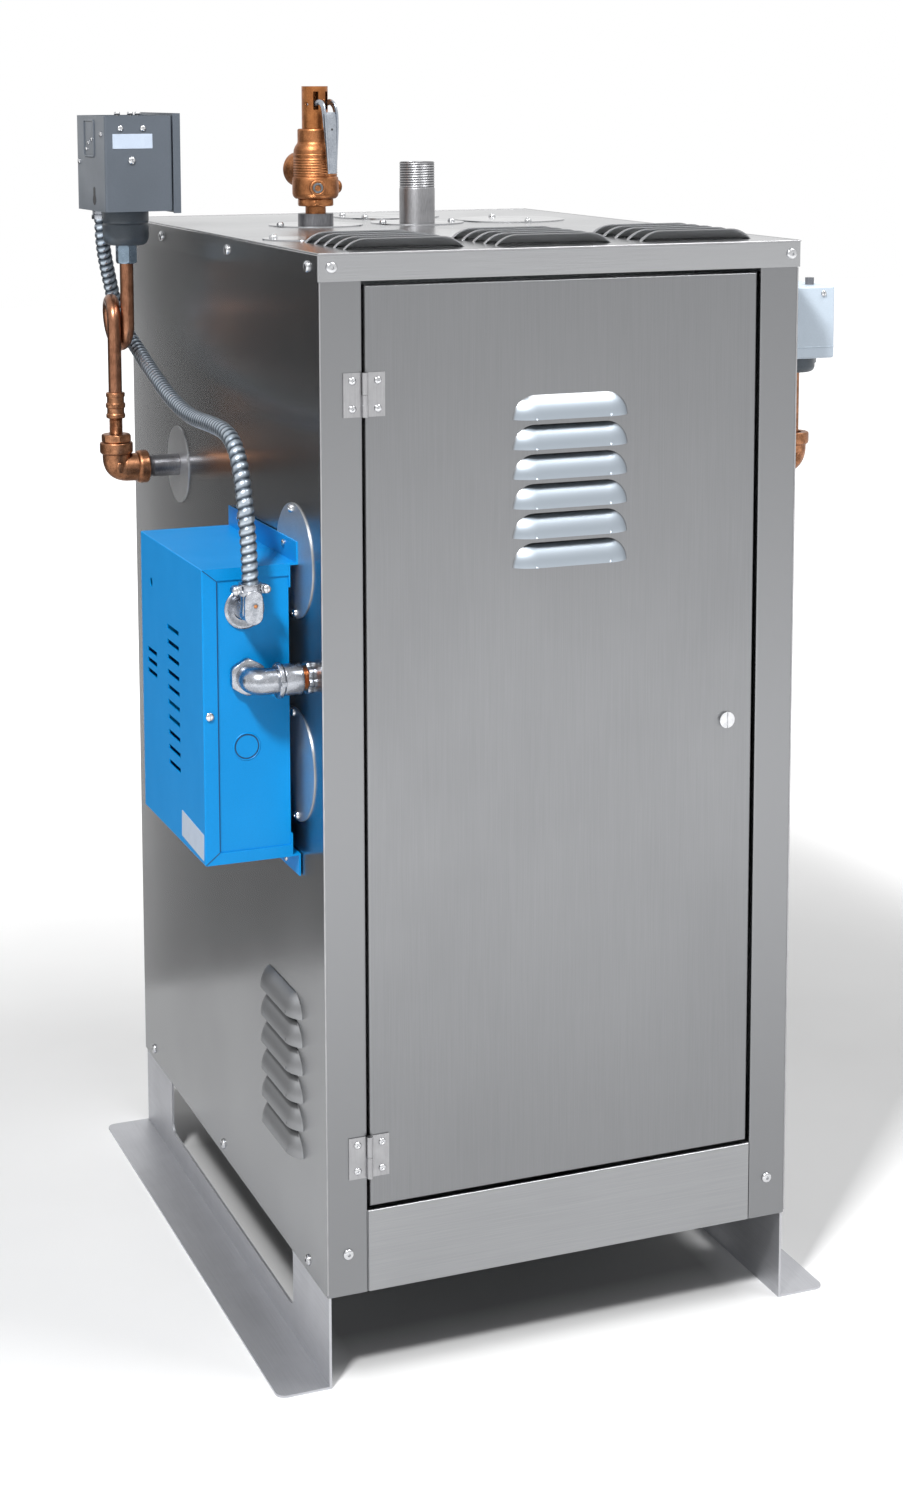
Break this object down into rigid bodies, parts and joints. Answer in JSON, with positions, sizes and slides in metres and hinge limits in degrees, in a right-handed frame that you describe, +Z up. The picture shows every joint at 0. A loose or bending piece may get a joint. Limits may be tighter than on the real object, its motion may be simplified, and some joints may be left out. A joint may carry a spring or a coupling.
{
  "type": "electric steam boiler",
  "caption": "Upright electric steam boiler in a louvred sheet metal cabinet, with safety valve, coiled pressure siphon, conduit and a side switch box.",
  "frame": {"origin": "centre of the cabinet's outline on the floor", "axes": "+X to the right seen from the door side, +Y from the door to the back, +Z up"},
  "size_m": [0.8335, 0.8533, 1.531],
  "materials": {
    "stainless_sheet": "brushed vertically",
    "satin_sheet": "satin grey paint",
    "galvanised_sheet": "plain zinc coat",
    "vessel_steel": "dull dark primer",
    "pipe_steel": "dark mill scale",
    "bronze": "cast, lightly worn",
    "copper_tube": "oxidised copper",
    "stainless_small": "bright",
    "grey_case": "smooth grey enamel",
    "pale_case": "smooth pale grey enamel",
    "zinc_fitting": "die cast zinc",
    "conduit_metal": "interlocked metal strip",
    "blue_enamel": "gloss enamel",
    "dark_plastic": "matte"
  },
  "bodies": {
    "boiler": {"left_side_panel": "stainless_sheet", "right_side_panel": "stainless_sheet", "back_panel": "stainless_sheet", "bottom_rail": "stainless_sheet", "lid": "stainless_sheet", "left_foot": "satin_sheet", "right_foot": "satin_sheet", "floor_pan": "galvanised_sheet", "inner_wall": "galvanised_sheet", "lid_escutcheons": "galvanised_sheet", "lid_blanks": "galvanised_sheet", "side_discs": "galvanised_sheet", "vessel_shell": "vessel_steel", "vessel_top_head": "vessel_steel", "vessel_bottom_head": "vessel_steel", "vessel_skirt": "vessel_steel", "steam_outlet_nipple": "pipe_steel", "safety_valve_coupling": "pipe_steel", "side_nipples": "pipe_steel", "safety_valve_body": "bronze", "safety_valve_cap": "bronze", "bronze_elbows": "bronze", "reducing_bushing": "bronze", "siphon_fitting": "bronze", "right_riser": "bronze", "siphon_loop": "copper_tube", "hinge_post_leaves": "stainless_small", "control_bellows": "grey_case", "right_control_bellows": "grey_case", "control_case": "grey_case", "control_cover_plate": "grey_case", "right_control_case": "pale_case", "control_connector": "zinc_fitting", "angle_connector": "zinc_fitting", "elbow_connector": "zinc_fitting", "flexible_conduit": "conduit_metal", "switch_box_body": "blue_enamel", "switch_box_cover": "blue_enamel", "switch_box_brackets": "blue_enamel", "contactor_bank": "dark_plastic"},
    "door": {"door": "stainless_sheet", "hinge_door_leaves": "stainless_small"},
    "latch": {"door_latch": "stainless_small"},
    "valve_lever": {"safety_valve_lever": "stainless_small"},
    "button": {"reset_button": "dark_plastic"}
  },
  "joints": [
    {"name": "door_swing", "type": "hinge", "parent": "boiler", "child": "door", "pos_m": [-0.2527, -0.4228, 0.7335], "axis": [0, 0, -1], "range_deg": [0, 150]},
    {"name": "latch_turn", "type": "hinge", "parent": "door", "child": "latch", "pos_m": [0.214, -0.419, 0.763], "axis": [0, 1, 0], "range_deg": [0, 90]},
    {"name": "valve_lever_lift", "type": "hinge", "parent": "boiler", "child": "valve_lever", "pos_m": [-0.1256, 0.1152, 1.507], "axis": [-0.96, -0.28, 0], "range_deg": [0, 35]},
    {"name": "button_press", "type": "slide", "parent": "boiler", "child": "button", "axis": [0, 0, -1], "range_m": [0, 0.003], "stiffness_N_per_m": 400}
  ]
}
